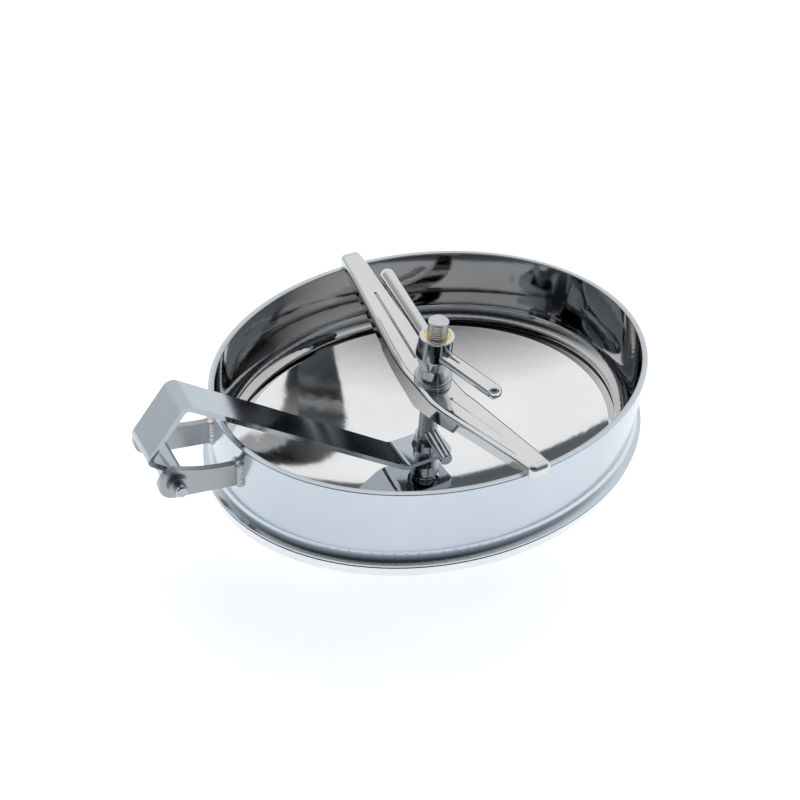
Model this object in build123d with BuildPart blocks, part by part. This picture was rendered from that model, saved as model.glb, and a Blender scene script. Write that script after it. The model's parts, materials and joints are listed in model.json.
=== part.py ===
"""Oval inward-opening manway for a sanitary tank.

The neck ring is welded into the tank shell.  The dished lid closes it from inside the
tank: it hangs on a stud that a bridge yoke, lying across the rim, and a tee-handled nut
pull upwards, so that the gasket meets the ring's lower face.  A bent flat-bar arm,
hinged on two lugs, carries the lid's stud in a sleeve.

Frame: X along the oval's long axis with the hinge on the -X side, Y along its short
axis, Z up, out of the tank.  The origin is on the oval's axis, in the plane of the
ring's lower face, which the gasket seals against.  All sizes are in millimetres.
"""

import math
import os

from build123d import *

os.makedirs("parts", exist_ok=True)

# --- neck ring ------------------------------------------------------------------------
opening_long = 440.0        # clear opening inside the wall, along X
opening_short = 340.0       # clear opening inside the wall, along Y
neck_wall = 6.0
neck_height = 84.0
rim_round = 1.2             # radius on the rim's two edges
flare_reach = 8.5           # how far the foot flares out past the wall
flare_edge = 2.0            # height of the flare's upright edge
cove_hollow = 0.4           # share of a cove's reach that is left a third of the way up
flare_top = 11.0            # where the flare runs out into the wall
lip_reach = 12.0            # how far the seat lip stands into the opening
lip_edge = 3.0
lip_top = 14.0

# --- lid and gasket -------------------------------------------------------------------
lid_gauge = 4.0
hem_depth = 9.5             # height of the lid's turned-down edge
hem_wall = 4.0
hem_drop = 1.5              # from the seat plane to the top of the hem
seat_depth = 2.0            # gasket channel, below the top of the hem
gasket_gap = 0.3            # running gap between gasket and seat before it is tightened
gasket_side_gap = 0.1
gasket_width = 17.0
land_width = 6.0            # sloping land between gasket channel and dish
land_drop = 1.5
dish_depth = 50.0

# --- stud -----------------------------------------------------------------------------
stud_radius = 10.0
stud_top = 130.0
stud_chamfer = 1.2
foot_radius = 15.0
foot_height = 13.0
foot_round = 3.0

# --- hinge ----------------------------------------------------------------------------
hinge_standoff = 55.0       # from the neck's outer wall to the hinge's axis
hinge_z = 66.0
pin_radius = 6.0
pin_play = 0.08             # radial running clearance on the pin
lug_gauge = 6.0
lug_spacing = 62.0          # between the lugs' middle planes
lug_end_radius = 16.5
lug_root_top = 65.0
lug_root_bottom = 38.0
lug_sweep = 6.0             # rise of the lug's top edge half way to the eye
lug_weld_radius = 4.0
tube_radius = 10.0
tube_end_gap = 0.5
washer_gauge = 2.0
washer_radius = 9.5
clip_gauge = 1.4
clip_radius = 8.6
clip_groove_depth = 0.8
clip_opening = 7.0
pin_head_radius = 9.0
pin_head_height = 5.0
pin_tail = 9.0              # pin length past the clip
small_gap = 0.2             # face-to-face gap between stacked loose parts

# --- swing arm ------------------------------------------------------------------------
arm_width = 40.0
arm_gauge = 5.0
arm_crest_inset = 18.0      # outside corner at the top of the arm, inward of the hinge's axis
arm_crest_rise = 73.0       # and above it
arm_heel_outset = 23.0      # outside corner low behind the hinge
arm_heel_rise = 20.0
arm_toe_x = -34.0           # where the sloping run meets the flat under the sleeve
arm_flat_z = -33.0          # top of that flat
arm_flat_reach = 21.5       # flat's end past the stud's axis
arm_bend = 9.0              # outside bend radius
sleeve_seat_gap = 0.3       # sleeve stands this far above the arm's flat before it is let down
sleeve_height = 15.8
sleeve_foot_radius = 15.0
sleeve_neck_radius = 12.6
sleeve_play = 0.1
slot_play = 0.5             # radial, between stud and the arm's slot
slot_travel = 5.5           # how far the stud shifts along the slot as the arm swings down
grip_radius = 6.5
grip_length = 50.0          # from the stud's axis to the grip's free end
grip_turn = 8.0             # degrees from -Y towards -X
grip_gap = 0.25             # between the grip and the top of the sleeve

# --- bridge yoke ----------------------------------------------------------------------
yoke_reach = 183.0          # from the axis to the end of a foot
yoke_foot_gap = 0.3
yoke_foot_length = 15.0     # bearing length on the rim
yoke_end_height = 13.0
yoke_half_width = 20.0      # at the middle
yoke_end_half_width = 11.0
yoke_waist = 48.0           # how far out the full width lasts
yoke_crown_z = 57.0         # top surface beside the boss
yoke_belly_z = 28.0         # underside beside the boss
yoke_edge_round = 5.0
boss_radius = 19.0
boss_top = 60.0
boss_round = 1.5
yoke_step = 70.0            # where the hollowed belly steps up
yoke_step_rise = 5.0
boss_hole_play = 2.0        # radial, so that the stud can find its own centre
groove_width = 5.0
groove_depth = 2.0
groove_start = 34.0
groove_end = 122.0

# --- tee nut --------------------------------------------------------------------------
nut_washer_gauge = 3.0
nut_washer_radius = 19.0
nut_bottom_radius = 15.5
nut_waist_height = 13.0
nut_belly_radius = 20.0
nut_belly_height = 27.0
nut_top_radius = 17.0
nut_height = 49.0
bush_radius = 13.2
bush_recess = 0.8
thread_play = 0.1
bar_radius = 7.25
bar_reach = 109.0           # axis of the nut to the end of a bar, along the bar
bar_rise = 14.0             # degrees above level
bar_root_height = 29.5      # bar axis above the nut's lower face, at the nut's axis

# --- worked out from the sizes above --------------------------------------------------
half_long = opening_long / 2 + neck_wall
half_short = opening_short / 2 + neck_wall
hinge_x = -half_long - hinge_standoff
arm_crest = (hinge_x + arm_crest_inset, hinge_z + arm_crest_rise)
arm_heel = (hinge_x - arm_heel_outset, hinge_z + arm_heel_rise)
seat_half_short = half_short + flare_reach
stretch = (half_long + flare_reach) / seat_half_short
hem_top = -hem_drop
channel_floor = hem_top - seat_depth
channel_outer = seat_half_short - hem_wall
channel_inner = channel_outer - gasket_width - 2 * gasket_side_gap
dish_radius = channel_inner - land_width
dish_rim_z = channel_floor - land_drop
dish_floor_z = dish_rim_z - dish_depth
dish_curve = (dish_radius**2 + dish_depth**2) / (2 * dish_depth)
dish_centre_z = dish_floor_z + dish_curve
foot_sag = dish_curve - math.sqrt(dish_curve**2 - foot_radius**2)
foot_base_z = dish_floor_z + foot_sag
lug_y = lug_spacing / 2
lug_face_y = lug_y + lug_gauge / 2
yoke_foot_z = neck_height + yoke_foot_gap
nut_washer_z = boss_top + small_gap
nut_z = nut_washer_z + nut_washer_gauge + small_gap
sleeve_base_z = arm_flat_z + sleeve_seat_gap
sleeve_top_z = sleeve_base_z + sleeve_height


def oval(offset):
    """Half axes of the oval that lies offset outside the neck's outer wall."""
    return half_long + offset, half_short + offset


def save(piece, name):
    """Writes one finished piece as its own STEP file."""
    piece.part.label = name
    export_step(piece.part, f"parts/{name}.step")


# --- neck ring: wall, flared foot and inner seat lip ----------------------------------
with BuildPart() as neck_ring:
    with BuildSketch():
        Ellipse(*oval(0))
    extrude(amount=neck_height)
    with BuildSketch():
        Ellipse(*oval(flare_reach))
    extrude(amount=flare_edge)
    with BuildSketch(Plane.XY.offset(flare_edge)):
        Ellipse(*oval(flare_reach))
    with BuildSketch(Plane.XY.offset((2 * flare_edge + flare_top) / 3)):
        Ellipse(*oval(flare_reach * cove_hollow))
    with BuildSketch(Plane.XY.offset(flare_top)):
        Ellipse(*oval(0))
    loft()
    with BuildSketch():
        Ellipse(*oval(-neck_wall - lip_reach))
    extrude(amount=lip_edge, mode=Mode.SUBTRACT)
    with BuildSketch(Plane.XY.offset(lip_edge)):
        Ellipse(*oval(-neck_wall - lip_reach))
    with BuildSketch(Plane.XY.offset((2 * lip_edge + lip_top) / 3)):
        Ellipse(*oval(-neck_wall - lip_reach * cove_hollow))
    with BuildSketch(Plane.XY.offset(lip_top)):
        Ellipse(*oval(-neck_wall))
    loft(mode=Mode.SUBTRACT)
    with BuildSketch(Plane.XY.offset(lip_top)):
        Ellipse(*oval(-neck_wall))
    extrude(amount=neck_height - lip_top, mode=Mode.SUBTRACT)
    fillet(neck_ring.faces().sort_by(Axis.Z)[-1].edges(), radius=rim_round)
save(neck_ring, "neck_ring")

# --- lid: pressed dish with a gasket channel and a turned-down hem --------------------
outer_share = (dish_curve + lid_gauge) / dish_curve
skirt_inner = seat_half_short - hem_wall
with BuildPart() as lid:
    with BuildSketch(Plane.XZ):
        with BuildLine():
            dish_angle = math.asin(dish_radius / dish_curve) / 2
            ThreePointArc(
                (0, dish_floor_z),
                (dish_curve * math.sin(dish_angle), dish_centre_z - dish_curve * math.cos(dish_angle)),
                (dish_radius, dish_rim_z),
            )
            Polyline(
                (dish_radius, dish_rim_z),
                (channel_inner, channel_floor),
                (channel_outer, channel_floor),
                (channel_outer, hem_top),
                (seat_half_short, hem_top),
                (seat_half_short, hem_top - hem_depth),
                (skirt_inner, hem_top - hem_depth),
                (skirt_inner, channel_floor - lid_gauge),
                (channel_inner, channel_floor - lid_gauge),
                (dish_radius * outer_share, dish_centre_z - (dish_centre_z - dish_rim_z) * outer_share),
            )
            ThreePointArc(
                (dish_radius * outer_share, dish_centre_z - (dish_centre_z - dish_rim_z) * outer_share),
                (
                    (dish_curve + lid_gauge) * math.sin(dish_angle),
                    dish_centre_z - (dish_curve + lid_gauge) * math.cos(dish_angle),
                ),
                (0, dish_floor_z - lid_gauge),
            )
            Line((0, dish_floor_z - lid_gauge), (0, dish_floor_z))
        make_face()
    revolve(axis=Axis.Z)
    scale(by=(stretch, 1, 1))
save(lid, "lid")

# --- gasket: moulded ring in the lid's channel ----------------------------------------
with BuildPart() as gasket:
    with BuildSketch(Plane.XZ) as section:
        with BuildLine():
            Polyline(
                (channel_inner + gasket_side_gap, channel_floor),
                (channel_outer - gasket_side_gap, channel_floor),
                (channel_outer - gasket_side_gap, -gasket_gap),
                (channel_inner + gasket_side_gap, -gasket_gap),
                close=True,
            )
        make_face()
        fillet(section.vertices().group_by(Axis.Y)[-1], radius=0.8)
    revolve(axis=Axis.Z)
    scale(by=(stretch, 1, 1))
save(gasket, "gasket")

# --- stud and the foot collar that the arm rests on -----------------------------------
with BuildPart() as stud:
    with BuildSketch(Plane.XY.offset(foot_base_z)):
        Circle(stud_radius)
    extrude(amount=stud_top - foot_base_z)
    chamfer(stud.edges().sort_by(Axis.Z)[-1], length=stud_chamfer)
save(stud, "stud")

foot_top_z = foot_base_z + foot_height
with BuildPart() as stud_foot:
    with BuildSketch(Plane.XY.offset(foot_base_z)):
        Circle(foot_radius)
        Circle(stud_radius, mode=Mode.SUBTRACT)
    extrude(amount=foot_height)
    foot_edges = stud_foot.edges().filter_by(GeomType.CIRCLE).group_by(Axis.Z)[-1]
    fillet(foot_edges.sort_by(SortBy.RADIUS)[-1], radius=foot_round)
save(stud_foot, "stud_foot")

# --- hinge lugs: profiled plates welded to the ring -----------------------------------
for side, lug_name in ((-1, "hinge_lug_front"), (1, "hinge_lug_rear")):
    with BuildPart() as lug:
        with BuildSketch(Plane.XZ.offset(-side * lug_y)):
            with BuildLine():
                top = ThreePointArc(
                    (hinge_x, hinge_z + lug_end_radius),
                    ((hinge_x - half_long) / 2, lug_root_top + lug_sweep),
                    (-half_long + neck_wall, lug_root_top),
                )
                end = ThreePointArc(
                    (hinge_x, hinge_z - lug_end_radius),
                    (hinge_x - lug_end_radius, hinge_z),
                    (hinge_x, hinge_z + lug_end_radius),
                )
                Line(end @ 0, (-half_long + neck_wall, lug_root_bottom))
                Line((-half_long + neck_wall, lug_root_bottom), top @ 1)
            make_face()
        extrude(amount=lug_gauge / 2, both=True)
        root_x = -half_long * math.sqrt(1 - (lug_y / half_short) ** 2)
        for weld_side in (-1, 1):
            with BuildSketch(Plane.XY.offset(lug_root_bottom + 1)):
                with Locations((root_x, side * lug_y + weld_side * (lug_gauge / 2))):
                    Circle(lug_weld_radius)
            extrude(amount=lug_root_top - lug_root_bottom - 2)
        with BuildSketch():
            Ellipse(*oval(0))
        extrude(amount=neck_height, mode=Mode.SUBTRACT)
        with BuildSketch(Plane.XZ):
            with Locations((hinge_x, hinge_z)):
                Circle(pin_radius + pin_play)
        extrude(amount=lug_spacing, both=True, mode=Mode.SUBTRACT)
    save(lug, lug_name)

# --- hinge pin with its washers and clip ----------------------------------------------
washer_y = lug_face_y + small_gap
clip_y = washer_y + washer_gauge + small_gap
pin_end_y = clip_y + clip_gauge + pin_tail
head_y = lug_face_y + small_gap
with BuildPart() as hinge_pin:
    with BuildSketch(Plane.XZ.offset(pin_end_y)):
        with Locations((hinge_x, hinge_z)):
            Circle(pin_radius)
    extrude(amount=-(pin_end_y + head_y))
    with BuildSketch(Plane.XZ.offset(-head_y)):
        with Locations((hinge_x, hinge_z)):
            Circle(pin_head_radius)
    extrude(amount=-pin_head_height)
    chamfer(hinge_pin.edges().group_by(Axis.Y)[0], length=1.0)
    chamfer(hinge_pin.edges().group_by(Axis.Y)[-1], length=1.0)
    with BuildSketch(Plane.XZ.offset(clip_y)):
        with Locations((hinge_x, hinge_z)):
            Circle(pin_radius + 1)
            Circle(pin_radius - clip_groove_depth, mode=Mode.SUBTRACT)
    extrude(amount=clip_gauge, mode=Mode.SUBTRACT)
save(hinge_pin, "hinge_pin")

with BuildPart() as pin_washer:
    with BuildSketch(Plane.XZ.offset(washer_y)):
        with Locations((hinge_x, hinge_z)):
            Circle(washer_radius)
            Circle(pin_radius + pin_play, mode=Mode.SUBTRACT)
    extrude(amount=washer_gauge)
save(pin_washer, "pin_washer")

with BuildPart() as pin_clip:
    with BuildSketch(Plane.XZ.offset(clip_y + clip_gauge * 0.1)):
        with Locations((hinge_x, hinge_z)):
            Circle(clip_radius)
            Circle(pin_radius - clip_groove_depth + pin_play, mode=Mode.SUBTRACT)
        with Locations((hinge_x, hinge_z - clip_radius)):
            Rectangle(clip_opening, clip_radius, mode=Mode.SUBTRACT)
    extrude(amount=clip_gauge * 0.8)
save(pin_clip, "pin_clip")

# --- hinge tube on the arm's lower lip ------------------------------------------------
tube_half_length = lug_y - lug_gauge / 2 - tube_end_gap
with BuildPart() as hinge_tube:
    with BuildSketch(Plane.XZ):
        with Locations((hinge_x, hinge_z)):
            Circle(tube_radius)
            Circle(pin_radius + pin_play, mode=Mode.SUBTRACT)
    extrude(amount=tube_half_length, both=True)
save(hinge_tube, "hinge_tube")

# --- swing arm: one flat bar, bent four times -----------------------------------------
with BuildPart() as swing_arm:
    with BuildSketch(Plane.XZ):
        with BuildLine() as arm_line:
            FilletPolyline(
                (hinge_x, hinge_z),
                arm_heel,
                arm_crest,
                (arm_toe_x, arm_flat_z),
                (arm_flat_reach, arm_flat_z),
                radius=[arm_bend, arm_bend, arm_bend + arm_gauge],
            )
            offset(amount=arm_gauge, side=Side.RIGHT, closed=True)
        make_face()
    extrude(amount=arm_width / 2, both=True)
    fillet(swing_arm.faces().sort_by(Axis.X)[-1].edges().filter_by(Axis.Z), radius=6)
    with BuildSketch(Plane.XZ):
        with Locations((hinge_x, hinge_z)):
            Circle(tube_radius)
    extrude(amount=lug_spacing, both=True, mode=Mode.SUBTRACT)
    with BuildSketch(Plane.XY.offset(foot_base_z)):
        with Locations((slot_travel / 2, 0)):
            SlotCenterToCenter(slot_travel, 2 * (stud_radius + slot_play))
    extrude(amount=arm_flat_z - foot_base_z, mode=Mode.SUBTRACT)
save(swing_arm, "swing_arm")

# --- sleeve on the arm's flat, bell shaped --------------------------------------------
bore = stud_radius + sleeve_play
with BuildPart() as arm_sleeve:
    with BuildSketch(Plane.XZ):
        with BuildLine():
            Polyline(
                (sleeve_foot_radius, sleeve_base_z),
                (bore, sleeve_base_z),
                (bore, sleeve_top_z),
                (sleeve_neck_radius, sleeve_top_z),
            )
            ThreePointArc(
                (sleeve_neck_radius, sleeve_top_z),
                (sleeve_neck_radius + 0.6, sleeve_base_z + sleeve_height * 0.4),
                (sleeve_foot_radius, sleeve_base_z),
            )
        make_face()
    revolve(axis=Axis.Z)
save(arm_sleeve, "arm_sleeve")

# --- grip rod welded to the stud above the sleeve: it turns the lid and carries its wei
grip_angle = math.radians(grip_turn)
grip_plane = Plane(
    origin=(0, 0, sleeve_top_z + grip_gap + grip_radius),
    x_dir=(0, 0, 1),
    z_dir=(-math.sin(grip_angle), -math.cos(grip_angle), 0),
)
with BuildPart() as turn_grip:
    with BuildSketch(grip_plane):
        Circle(grip_radius)
    extrude(amount=grip_length)
    chamfer(turn_grip.edges().filter_by(GeomType.CIRCLE).sort_by(Axis.Y)[0], length=1.0)
    with BuildSketch(Plane.XY.offset(sleeve_base_z)):
        Circle(stud_radius)
    extrude(amount=stud_top - sleeve_base_z, mode=Mode.SUBTRACT)
save(turn_grip, "turn_grip")

# --- bridge yoke: cast beam, drooping to a bored boss in the middle -------------------
foot_inner = yoke_reach - yoke_foot_length
yoke_end_z = yoke_foot_z + yoke_end_height
slope_start = boss_radius + 10
step_z = yoke_belly_z + 9 + (yoke_step - boss_radius - 14) * math.tan(math.radians(18))
groove_rise = math.atan2(yoke_end_z - 6 - yoke_crown_z, foot_inner - 12 - slope_start)
groove_z = yoke_crown_z + (groove_start - slope_start) * math.tan(groove_rise)
with BuildPart() as yoke:
    with BuildSketch(Plane.YZ):
        with BuildLine():
            FilletPolyline(
                (0, yoke_crown_z),
                (slope_start, yoke_crown_z),
                (foot_inner - 12, yoke_end_z - 6),
                (yoke_reach, yoke_end_z),
                (yoke_reach, yoke_foot_z),
                (foot_inner, yoke_foot_z),
                (foot_inner - 10, yoke_foot_z - 6),
                (yoke_step + 3, step_z + yoke_step_rise),
                (yoke_step, step_z),
                (boss_radius + 14, yoke_belly_z + 9),
                (0, yoke_belly_z),
                radius=[60, 60, 6, 1.5, 3, 12, 1.5, 1.5, 40],
            )
            mirror(about=Plane.YZ)
        make_face()
    extrude(amount=yoke_half_width, both=True)
    with BuildSketch(Plane.XY):
        with BuildLine():
            FilletPolyline(
                (yoke_half_width, 0),
                (yoke_half_width, yoke_waist),
                (yoke_end_half_width, yoke_reach),
                (0, yoke_reach),
                radius=[80, 7],
            )
            Line((0, 0), (yoke_half_width, 0))
            mirror(about=Plane.YZ)
        make_face()
        mirror(about=Plane.XZ)
    extrude(amount=yoke_end_z, mode=Mode.INTERSECT)
    top_faces = [face for face in yoke.faces() if face.normal_at().Z > 0.3]
    crest = ShapeList(edge for face in top_faces for edge in face.edges() if abs(edge.center().X) > 5)
    fillet(crest.filter_by(lambda edge: edge.length > 4), radius=yoke_edge_round)
    for side in (-1, 1):
        groove_dir = (0, side * math.cos(groove_rise), math.sin(groove_rise))
        groove_plane = Plane(origin=(0, side * groove_start, groove_z), x_dir=(1, 0, 0), z_dir=groove_dir)
        with BuildSketch(groove_plane):
            Polygon(
                (-groove_width / 2, -side),
                (groove_width / 2, -side),
                (0, side * groove_depth),
                align=None,
            )
        extrude(amount=(groove_end - groove_start) / math.cos(groove_rise), mode=Mode.SUBTRACT)
    with BuildSketch(Plane.XY.offset(yoke_crown_z - 10)):
        Circle(boss_radius)
    extrude(amount=boss_top - yoke_crown_z + 10)
    with BuildSketch(Plane.XY.offset(yoke_belly_z)):
        Circle(stud_radius + boss_hole_play)
    extrude(amount=boss_top - yoke_belly_z, mode=Mode.SUBTRACT)
    rims = yoke.edges().filter_by(GeomType.CIRCLE).filter_by(lambda edge: edge.radius == boss_radius)
    fillet(rims.sort_by(Axis.Z)[-1], radius=boss_round)
save(yoke, "bridge_yoke")

# --- thrust washer under the nut ------------------------------------------------------
with BuildPart() as thrust_washer:
    with BuildSketch(Plane.XY.offset(nut_washer_z)):
        Circle(nut_washer_radius)
        Circle(stud_radius + thread_play * 2, mode=Mode.SUBTRACT)
    extrude(amount=nut_washer_gauge)
    fillet(thrust_washer.edges().filter_by(GeomType.CIRCLE).sort_by(SortBy.RADIUS)[-2:], radius=1.0)
save(thrust_washer, "thrust_washer")


def bar_plane(side):
    """Plane across a tee bar, on the nut's axis, facing out along the bar."""
    rise = math.radians(bar_rise)
    return Plane(
        origin=(0, 0, nut_z + bar_root_height),
        x_dir=(1, 0, 0),
        z_dir=(0, side * math.cos(rise), math.sin(rise)),
    )


# --- nut hub: turned body with sockets for the bars -----------------------------------
with BuildPart() as nut_hub:
    with BuildSketch(Plane.XZ):
        with BuildLine():
            Polyline(
                (bush_radius, nut_z),
                (nut_bottom_radius, nut_z),
                (nut_bottom_radius, nut_z + nut_waist_height),
                (nut_belly_radius, nut_z + nut_belly_height),
                (nut_top_radius, nut_z + nut_height),
                (bush_radius, nut_z + nut_height),
                close=True,
            )
        make_face()
    revolve(axis=Axis.Z)
    fillet(nut_hub.edges().filter_by(GeomType.CIRCLE).group_by(Axis.Z)[1:3], radius=4)
    top_edges = nut_hub.edges().filter_by(GeomType.CIRCLE).group_by(Axis.Z)[-1]
    fillet(top_edges.sort_by(SortBy.RADIUS)[-1], radius=1.5)
    for side in (-1, 1):
        with BuildSketch(bar_plane(side)):
            Circle(bar_radius)
        extrude(amount=bar_reach / 2, mode=Mode.SUBTRACT)
save(nut_hub, "nut_hub")

# --- threaded bronze bush in the hub --------------------------------------------------
with BuildPart() as thread_bush:
    with BuildSketch(Plane.XY.offset(nut_z)):
        Circle(bush_radius)
        Circle(stud_radius + thread_play, mode=Mode.SUBTRACT)
    extrude(amount=nut_height - bush_recess)
save(thread_bush, "thread_bush")

# --- tee bars -------------------------------------------------------------------------
for side, bar_name in ((-1, "handle_bar_front"), (1, "handle_bar_rear")):
    with BuildPart() as bar:
        with BuildSketch(bar_plane(side)):
            Circle(bar_radius)
        extrude(amount=bar_reach)
        end_edges = bar.edges().filter_by(GeomType.CIRCLE).sort_by(Axis.Y)
        fillet(end_edges[0 if side < 0 else -1], radius=bar_radius - 0.5)
        with BuildSketch(Plane.XY.offset(nut_z)):
            Circle(bush_radius)
        extrude(amount=nut_height, mode=Mode.SUBTRACT)
    save(bar, bar_name)
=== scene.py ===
"""Oval tank manway cover: finishes, welds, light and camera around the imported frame."""
import json
import math

import bpy
from mathutils import Matrix, Vector


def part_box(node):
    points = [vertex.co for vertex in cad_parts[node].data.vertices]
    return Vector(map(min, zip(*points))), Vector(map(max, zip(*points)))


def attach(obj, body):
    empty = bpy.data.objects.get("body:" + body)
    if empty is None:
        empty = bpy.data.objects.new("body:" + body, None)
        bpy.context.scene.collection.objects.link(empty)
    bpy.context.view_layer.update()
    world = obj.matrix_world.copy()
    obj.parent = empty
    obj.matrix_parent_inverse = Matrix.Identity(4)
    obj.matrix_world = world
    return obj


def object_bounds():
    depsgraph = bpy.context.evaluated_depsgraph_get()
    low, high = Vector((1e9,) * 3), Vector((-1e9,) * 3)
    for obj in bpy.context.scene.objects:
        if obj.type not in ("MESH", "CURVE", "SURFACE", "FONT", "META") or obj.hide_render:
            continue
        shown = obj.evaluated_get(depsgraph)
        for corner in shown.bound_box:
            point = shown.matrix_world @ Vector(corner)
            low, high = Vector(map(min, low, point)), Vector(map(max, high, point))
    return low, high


MM = 0.001

# The ring's oval wall, as half lengths: its outer face, and the middle of its thickness.
WALL_OUTSIDE = (226 * MM, 176 * MM)
WALL_MIDDLE = (223 * MM, 173 * MM)
LUG_HALF_GAUGE = 3 * MM
BEAD_FOOT_Z = 39.5 * MM
BEAD_RIPPLES = 16
THREAD_PITCH = 2.5 * MM
THREAD_DEPTH = 0.5 * MM
FLOOR_GAP = 0.5 * MM
FLOOR_SIZE = 40
NEAR_WALL = (0.025, 0.027, 0.03, 1)
FAR_WALL = (0.93, 0.94, 0.95, 1)
SKIRTING = (0.45, 0.5, 0.55, 1)
CAMERA_PLACE = (-0.5061, -0.7334, 0.8045)
CAMERA_LENS = 52.73

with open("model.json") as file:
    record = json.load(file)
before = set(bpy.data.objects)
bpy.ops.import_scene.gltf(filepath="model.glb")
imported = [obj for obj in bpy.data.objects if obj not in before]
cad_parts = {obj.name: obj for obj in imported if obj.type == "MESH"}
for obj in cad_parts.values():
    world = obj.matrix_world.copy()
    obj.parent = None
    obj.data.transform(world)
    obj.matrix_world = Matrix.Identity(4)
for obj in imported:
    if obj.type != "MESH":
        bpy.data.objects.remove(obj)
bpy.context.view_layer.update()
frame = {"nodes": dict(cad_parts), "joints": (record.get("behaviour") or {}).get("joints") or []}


# --- finishes ------------------------------------------------------------------------
def new_finish(name):
    """An empty node material with its Principled shader."""
    finish = bpy.data.materials.new(name)
    finish.use_nodes = True
    return finish, finish.node_tree, finish.node_tree.nodes["Principled BSDF"]


def object_coords(tree, scale=(1, 1, 1)):
    """Object coordinates, stretched by scale."""
    coords = tree.nodes.new("ShaderNodeTexCoord")
    mapping = tree.nodes.new("ShaderNodeMapping")
    mapping.inputs["Scale"].default_value = scale
    tree.links.new(coords.outputs["Object"], mapping.inputs["Vector"])
    return mapping.outputs["Vector"]


def noise(tree, vector, scale, detail=3.0):
    """Soft random patches, 0 to 1."""
    node = tree.nodes.new("ShaderNodeTexNoise")
    node.inputs["Scale"].default_value = scale
    node.inputs["Detail"].default_value = detail
    tree.links.new(vector, node.inputs["Vector"])
    return node.outputs["Fac"]


def ramp(tree, value, low, high, low_at=0.3, high_at=0.7):
    """Turns a value into a colour between low and high."""
    node = tree.nodes.new("ShaderNodeValToRGB")
    node.color_ramp.elements[0].position = low_at
    node.color_ramp.elements[0].color = low
    node.color_ramp.elements[1].position = high_at
    node.color_ramp.elements[1].color = high
    tree.links.new(value, node.inputs["Fac"])
    return node.outputs["Color"]


def spread(tree, value, low, high):
    """Maps a 0 to 1 value to low to high."""
    node = tree.nodes.new("ShaderNodeMapRange")
    node.inputs["To Min"].default_value = low
    node.inputs["To Max"].default_value = high
    tree.links.new(value, node.inputs["Value"])
    return node.outputs["Result"]


def grey(value, blue=0.0):
    """A grey that leans to blue by the given step."""
    return (value - blue, value, value + blue, 1.0)


def steel(name, tone, blue, rough, grain, grain_scale, lift=0.02):
    """Stainless steel: cloudy tone, polishing grain in its gloss, and a faint surface wave."""
    finish, tree, shader = new_finish(name)
    shader.inputs["Metallic"].default_value = 1.0
    cloud = noise(tree, object_coords(tree), 14.0)
    tree.links.new(ramp(tree, cloud, grey(tone * 0.93, blue), grey(tone, blue)), shader.inputs["Base Color"])
    lines = noise(tree, object_coords(tree, grain_scale), 60.0, 5.0)
    tree.links.new(spread(tree, lines, rough - grain, rough + grain), shader.inputs["Roughness"])
    bump = tree.nodes.new("ShaderNodeBump")
    bump.inputs["Strength"].default_value = lift
    bump.inputs["Distance"].default_value = 0.2 * MM
    tree.links.new(lines, bump.inputs["Height"])
    tree.links.new(bump.outputs["Normal"], shader.inputs["Normal"])
    return finish


def threaded(finish, pitch, depth):
    """Adds a screw thread's ridges, as relief, to a turned finish."""
    tree = finish.node_tree
    shader = tree.nodes["Principled BSDF"]
    wave = tree.nodes.new("ShaderNodeTexWave")
    wave.wave_type = "BANDS"
    wave.bands_direction = "Z"
    wave.inputs["Scale"].default_value = 0.314 / pitch
    tree.links.new(object_coords(tree), wave.inputs["Vector"])
    bump = tree.nodes.new("ShaderNodeBump")
    bump.inputs["Strength"].default_value = 0.7
    bump.inputs["Distance"].default_value = depth
    tree.links.new(wave.outputs["Fac"], bump.inputs["Height"])
    tree.links.new(bump.outputs["Normal"], shader.inputs["Normal"])
    return finish


def polished_and_shaded_bore(finish, oval, tone, rough):
    """Gives the metal inside an oval its own mirror polish and a darker tone that is painted shade, with the
    satin left outside.
    """
    half_long, half_short = oval
    tree = finish.node_tree
    shader = tree.nodes["Principled BSDF"]
    reach = tree.nodes.new("ShaderNodeVectorMath")
    reach.operation = "LENGTH"
    tree.links.new(object_coords(tree, (1 / half_long, 1 / half_short, 0)), reach.inputs[0])
    outside = tree.nodes.new("ShaderNodeMapRange")
    outside.inputs["From Min"].default_value = 0.99
    outside.inputs["From Max"].default_value = 1.005
    tree.links.new(reach.outputs["Value"], outside.inputs["Value"])
    # The darker tone inside the oval is painted shade; the lower roughness is the real mirror polish.
    cloud = ramp(tree, noise(tree, object_coords(tree), 9.0), grey(tone * 0.85), grey(tone))
    for socket, kind, shaded_bore_source in (("Base Color", "RGBA", cloud), ("Roughness", "FLOAT", None)):
        mix = tree.nodes.new("ShaderNodeMix")
        mix.data_type = kind
        first, second = (6, 7) if kind == "RGBA" else (2, 3)
        tree.links.new(outside.outputs["Result"], mix.inputs[0])
        if shaded_bore_source:
            tree.links.new(shaded_bore_source, mix.inputs[first])
        else:
            mix.inputs[first].default_value = rough
        tree.links.new(shader.inputs[socket].links[0].from_socket, mix.inputs[second])
        tree.links.new(mix.outputs[2 if kind == "RGBA" else 0], shader.inputs[socket])
    return finish


def rubber(name):
    """Black gasket rubber with a fine speck."""
    finish, tree, shader = new_finish(name)
    speck = noise(tree, object_coords(tree), 900.0)
    tree.links.new(ramp(tree, speck, grey(0.02), grey(0.045)), shader.inputs["Base Color"])
    tree.links.new(spread(tree, speck, 0.45, 0.65), shader.inputs["Roughness"])
    return finish


def brass(name):
    """Turned brass, a little tarnished in patches."""
    finish, tree, shader = new_finish(name)
    shader.inputs["Metallic"].default_value = 1.0
    cloud = noise(tree, object_coords(tree), 120.0)
    tree.links.new(
        ramp(tree, cloud, (0.62, 0.45, 0.2, 1), (0.86, 0.68, 0.36, 1)), shader.inputs["Base Color"]
    )
    tree.links.new(spread(tree, cloud, 0.16, 0.32), shader.inputs["Roughness"])
    return finish
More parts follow.
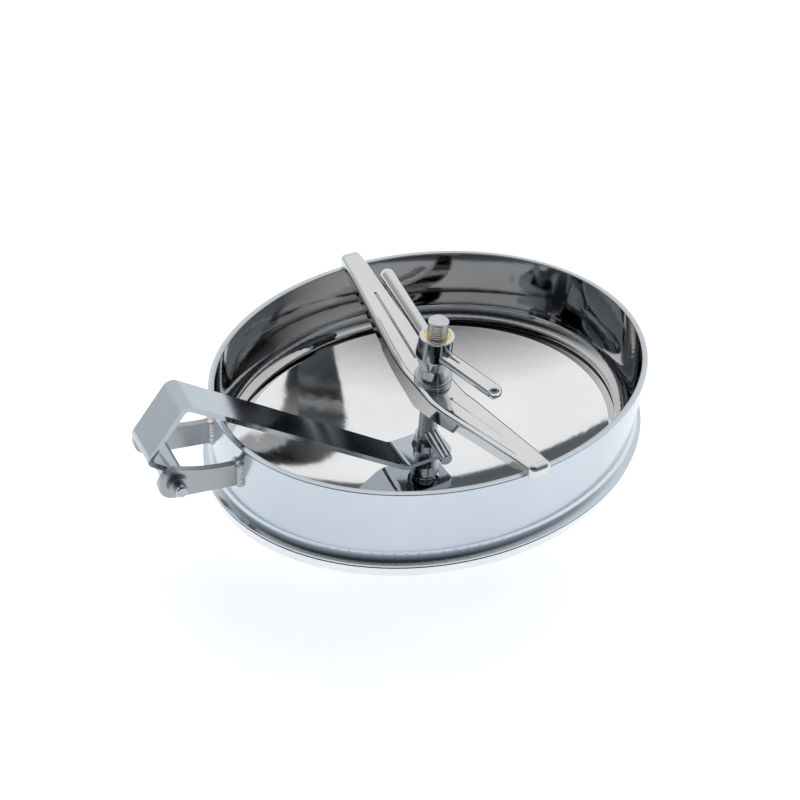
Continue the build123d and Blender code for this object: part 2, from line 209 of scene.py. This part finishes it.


# Values in turn: tone, lean to blue, roughness, grain in the gloss, stretch of the grain, surface wave.
# The ring's inside gets a real mirror polish and a darker base tone, painted shade for the inside of the
# ring.
ring_steel = polished_and_shaded_bore(
    steel("ring_polished_steel", 0.66, 0.06, 0.2, 0.03, (1, 1, 14), 0.01), WALL_MIDDLE, 0.56, 0.05
)
bracket_steel = steel("bracket_satin_steel", 0.44, 0.012, 0.3, 0.04, (2, 2, 2), 0.02)
arm_steel = steel("arm_polished_steel", 0.52, 0.045, 0.1, 0.03, (1, 12, 1), 0.02)
lid_steel = steel("lid_mirror_steel", 0.88, 0.006, 0.06, 0.015, (4, 4, 4), 0.006)
cast_steel = steel("cast_polished_steel", 0.72, 0.006, 0.07, 0.03, (1, 1, 1), 0.02)
stud_steel = threaded(
    steel("stud_turned_steel", 0.62, 0.0, 0.16, 0.04, (1, 1, 20)), THREAD_PITCH, THREAD_DEPTH
)
weld_steel = steel("weld_bead_steel", 0.8, 0.0, 0.32, 0.08, (8, 8, 8), 0.1)

FINISHES = {
    "neck_ring": ring_steel,
    "hinge_lug_front": bracket_steel,
    "hinge_lug_rear": bracket_steel,
    "hinge_pin": arm_steel,
    "pin_washer": bracket_steel,
    "pin_clip": bracket_steel,
    "hinge_tube": arm_steel,
    "swing_arm": arm_steel,
    "arm_sleeve": arm_steel,
    "turn_grip": arm_steel,
    "lid": lid_steel,
    "gasket": rubber("gasket_rubber"),
    "stud": stud_steel,
    "stud_foot": arm_steel,
    "bridge_yoke": cast_steel,
    "thrust_washer": arm_steel,
    "nut_hub": cast_steel,
    "thread_bush": brass("bush_brass"),
    "handle_bar_front": cast_steel,
    "handle_bar_rear": cast_steel,
}
for node, finish in FINISHES.items():
    part = frame["nodes"][node]
    if not part.material_slots:
        part.data.materials.append(finish)
    for part_slot in part.material_slots:
        part_slot.material = finish


# --- weld beads between the ring and the hinge lugs --------------------------------------
def bead_tree():
    """Stacks overlapping ripples upwards from each point, as a weld runs up a plate's root."""
    group = bpy.data.node_groups.new("weld_bead", "GeometryNodeTree")
    face = group.interface
    face.new_socket("Geometry", in_out="INPUT", socket_type="NodeSocketGeometry")
    inputs = {}
    for label, kind, value in (
        ("Ripples", "NodeSocketInt", BEAD_RIPPLES),
        ("Pitch", "NodeSocketFloat", 1.7 * MM),
        ("Bead Radius", "NodeSocketFloat", 4.3 * MM),
        ("Ripple Height", "NodeSocketFloat", 1.5 * MM),
        ("Seed", "NodeSocketInt", 7),
    ):
        socket = face.new_socket(label, in_out="INPUT", socket_type=kind)
        socket.default_value = value
        inputs[label] = socket.identifier
    face.new_socket("Geometry", in_out="OUTPUT", socket_type="NodeSocketGeometry")
    new, link = group.nodes.new, group.links.new
    start, end = new("NodeGroupInput"), new("NodeGroupOutput")
    step = new("ShaderNodeCombineXYZ")
    link(start.outputs["Pitch"], step.inputs["Z"])
    line = new("GeometryNodeMeshLine")
    link(start.outputs["Ripples"], line.inputs["Count"])
    link(step.outputs["Vector"], line.inputs["Offset"])
    ripple = new("GeometryNodeMeshUVSphere")
    ripple.inputs["Segments"].default_value = 20
    ripple.inputs["Rings"].default_value = 10
    ripple.inputs["Radius"].default_value = 1.0
    size = new("ShaderNodeCombineXYZ")
    vary = new("FunctionNodeRandomValue")
    vary.inputs[2].default_value = 0.86
    vary.inputs[3].default_value = 1.0
    link(start.outputs["Seed"], vary.inputs["Seed"])
    width = new("ShaderNodeMath")
    width.operation = "MULTIPLY"
    link(start.outputs["Bead Radius"], width.inputs[0])
    link(vary.outputs[1], width.inputs[1])
    link(width.outputs[0], size.inputs["X"])
    link(width.outputs[0], size.inputs["Y"])
    link(start.outputs["Ripple Height"], size.inputs["Z"])
    stack = new("GeometryNodeInstanceOnPoints")
    link(line.outputs["Mesh"], stack.inputs["Points"])
    link(ripple.outputs["Mesh"], stack.inputs["Instance"])
    link(size.outputs["Vector"], stack.inputs["Scale"])
    single = new("GeometryNodeGeometryToInstance")
    link(stack.outputs["Instances"], single.inputs["Geometry"])
    spread_out = new("GeometryNodeInstanceOnPoints")
    link(start.outputs["Geometry"], spread_out.inputs["Points"])
    link(single.outputs["Instances"], spread_out.inputs["Instance"])
    real = new("GeometryNodeRealizeInstances")
    link(spread_out.outputs["Instances"], real.inputs["Geometry"])
    smooth = new("GeometryNodeSetShadeSmooth")
    link(real.outputs["Geometry"], smooth.inputs["Geometry"])
    paint = new("GeometryNodeSetMaterial")
    paint.inputs["Material"].default_value = weld_steel
    link(smooth.outputs["Geometry"], paint.inputs["Geometry"])
    link(paint.outputs["Geometry"], end.inputs["Geometry"])
    return group, inputs


def weld_roots():
    """Foot of each bead: where a lug's two faces meet the oval wall."""
    points = []
    long_half, short_half = WALL_OUTSIDE
    for node in ("hinge_lug_front", "hinge_lug_rear"):
        low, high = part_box(node)
        middle = (low.y + high.y) / 2
        for face in (-LUG_HALF_GAUGE, LUG_HALF_GAUGE):
            y = middle + face
            x = -long_half * math.sqrt(1 - (y / short_half) ** 2)
            points.append((x, y, BEAD_FOOT_Z))
    return points


bead_mesh = bpy.data.meshes.new("weld_roots")
bead_mesh.from_pydata(weld_roots(), [], [])
bead_seed = bpy.data.objects.new("weld_roots", bead_mesh)
bpy.context.collection.objects.link(bead_seed)
ripples = bead_seed.modifiers.new("ripples", "NODES")
ripples.node_group, bead_inputs = bead_tree()
ripples[bead_inputs["Ripples"]] = BEAD_RIPPLES
bpy.context.view_layer.update()
welded = bead_seed.evaluated_get(bpy.context.evaluated_depsgraph_get())
weld_beads = bpy.data.objects.new("weld_beads", bpy.data.meshes.new_from_object(welded))
bpy.context.collection.objects.link(weld_beads)
bpy.data.objects.remove(bead_seed)
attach(weld_beads, "ring")


# --- room: floor and soft lamps --------------------------------------------
def panel(name, size, place, aim, finish):
    """A flat card of the studio, facing aim."""
    bpy.ops.mesh.primitive_plane_add(size=1)
    card = bpy.context.object
    card.name = name
    card.scale = (size[0], size[1], 1)
    card.location = place
    card.rotation_mode = "QUATERNION"
    card.rotation_quaternion = (Vector(aim) - Vector(place)).to_track_quat("Z", "Y")
    card.data.materials.append(finish)


def lamp(name, size, place, aim, watts, tint=(1, 1, 1)):
    """A soft rectangular lamp, facing aim."""
    data = bpy.data.lights.new(name, "AREA")
    data.shape = "RECTANGLE"
    data.size, data.size_y = size
    data.energy = watts
    data.color = tint
    light = bpy.data.objects.new(name, data)
    light.location = place
    light.rotation_mode = "QUATERNION"
    light.rotation_quaternion = (Vector(aim) - Vector(place)).to_track_quat("-Z", "Y")
    bpy.context.collection.objects.link(light)
    return light


def sees_backdrop(tree):
    """1 on the rays that look at the studio itself or show it in metal, 0 on those that light the part."""
    path = tree.nodes.new("ShaderNodeLightPath")
    first = tree.nodes.new("ShaderNodeMath")
    first.operation = "MAXIMUM"
    tree.links.new(path.outputs["Is Camera Ray"], first.inputs[0])
    tree.links.new(path.outputs["Is Glossy Ray"], first.inputs[1])
    both = tree.nodes.new("ShaderNodeMath")
    both.operation = "MAXIMUM"
    tree.links.new(first.outputs[0], both.inputs[0])
    tree.links.new(path.outputs["Is Transmission Ray"], both.inputs[1])
    return both.outputs[0]


floor_finish, floor_tree, floor_shader = new_finish("floor_paint")
floor_shader.inputs["Base Color"].default_value = (0.93, 0.93, 0.93, 1)
floor_shader.inputs["Roughness"].default_value = 0.9
floor_glow = floor_tree.nodes.new("ShaderNodeEmission")
floor_glow.inputs["Color"].default_value = (0.97, 0.985, 1.0, 1)
glow_level = floor_tree.nodes.new("ShaderNodeMath")
glow_level.operation = "MULTIPLY"
glow_level.inputs[1].default_value = 0.5
floor_tree.links.new(sees_backdrop(floor_tree), glow_level.inputs[0])
floor_tree.links.new(glow_level.outputs[0], floor_glow.inputs["Strength"])
floor_sum = floor_tree.nodes.new("ShaderNodeAddShader")
floor_tree.links.new(floor_shader.outputs["BSDF"], floor_sum.inputs[0])
floor_tree.links.new(floor_glow.outputs["Emission"], floor_sum.inputs[1])
floor_tree.links.new(floor_sum.outputs["Shader"], floor_tree.nodes["Material Output"].inputs["Surface"])
# The floor lies clear of the lid when its nut is screwed right down, not only at rest.
lid_travel = next(joint for joint in frame["joints"] if joint["name"] == "lid_drop")["range_m"][1]
floor_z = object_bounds()[0].z - lid_travel - FLOOR_GAP
panel("floor", (FLOOR_SIZE, FLOOR_SIZE), (0, 0, floor_z), (0, 0, 1), floor_finish)

centre = (0, 0, 0.03)
lamps = [
    lamp("key_lamp", (1.8, 1.2), (-1.9, 0.1, 1.4), centre, 7, (0.96, 0.98, 1.0)),
    lamp("fill_lamp", (1.4, 1.4), (1.5, -0.6, 1.0), centre, 5, (0.97, 0.985, 1.0)),
    lamp("top_lamp", (2.4, 1.2), (0.9, 1.6, 1.7), centre, 8),
]
# Polished steel mirrors the soft walls and not the hard edges of the lamps.
for soft_lamp in lamps:
    soft_lamp.visible_glossy = False

# The studio's far side is bright and its near side dark, with a paler skirting low all round.
world = bpy.data.worlds.new("studio")
bpy.context.scene.world = world
world.use_nodes = True
tree = world.node_tree
coords = tree.nodes.new("ShaderNodeTexCoord")
along = tree.nodes.new("ShaderNodeVectorMath")
along.operation = "DOT_PRODUCT"
along.inputs[1].default_value = (0.54, 0.84, 0.05)
tree.links.new(coords.outputs["Generated"], along.inputs[0])
walls = tree.nodes.new("ShaderNodeMapRange")
walls.inputs["From Min"].default_value = -0.4
walls.inputs["From Max"].default_value = 0.4
tree.links.new(along.outputs["Value"], walls.inputs["Value"])
room = tree.nodes["Background"]
split = tree.nodes.new("ShaderNodeSeparateXYZ")
tree.links.new(coords.outputs["Generated"], split.inputs["Vector"])
skirting = tree.nodes.new("ShaderNodeMapRange")
skirting.inputs["From Min"].default_value = 0.8
skirting.inputs["From Max"].default_value = 0.0
tree.links.new(split.outputs["Z"], skirting.inputs["Value"])
low_wall = ramp(tree, skirting.outputs["Result"], grey(0.0), SKIRTING, 0.0, 1.0)
lighter = tree.nodes.new("ShaderNodeMix")
lighter.data_type = "RGBA"
lighter.blend_type = "LIGHTEN"
lighter.inputs[0].default_value = 1.0
tree.links.new(ramp(tree, walls.outputs["Result"], NEAR_WALL, FAR_WALL, 0.1, 0.9), lighter.inputs[6])
tree.links.new(low_wall, lighter.inputs[7])
tree.links.new(lighter.outputs[2], room.inputs["Color"])
room.inputs["Strength"].default_value = 1.0
seen = tree.nodes.new("ShaderNodeBackground")
seen.inputs["Color"].default_value = (1, 1, 1, 1)
path = tree.nodes.new("ShaderNodeLightPath")
blend = tree.nodes.new("ShaderNodeMixShader")
tree.links.new(path.outputs["Is Camera Ray"], blend.inputs["Fac"])
tree.links.new(room.outputs["Background"], blend.inputs[1])
tree.links.new(seen.outputs["Background"], blend.inputs[2])
tree.links.new(blend.outputs["Shader"], tree.nodes["World Output"].inputs["Surface"])

# --- camera ------------------------------------------------------------------------------
azimuth, elevation, roll = (math.radians(angle) for angle in (-32.63, 41.18, 4.59))
forward = Vector(
    (-math.sin(azimuth) * math.cos(elevation), math.cos(azimuth) * math.cos(elevation), -math.sin(elevation))
)
right = Vector((math.cos(azimuth), math.sin(azimuth), 0))
up = right.cross(forward)
side = right * math.cos(roll) + up * math.sin(roll)
top = up * math.cos(roll) - right * math.sin(roll)
camera_data = bpy.data.cameras.new("camera")
camera_data.sensor_width = 36
camera_data.lens = CAMERA_LENS
camera_data.clip_start = 0.01
camera = bpy.data.objects.new("camera", camera_data)
camera.matrix_world = Matrix.Translation(CAMERA_PLACE) @ Matrix(
    (
        (side.x, top.x, -forward.x, 0),
        (side.y, top.y, -forward.y, 0),
        (side.z, top.z, -forward.z, 0),
        (0, 0, 0, 1),
    )
)
bpy.context.collection.objects.link(camera)
bpy.context.scene.camera = camera
bpy.context.scene.view_settings.view_transform = "Standard"
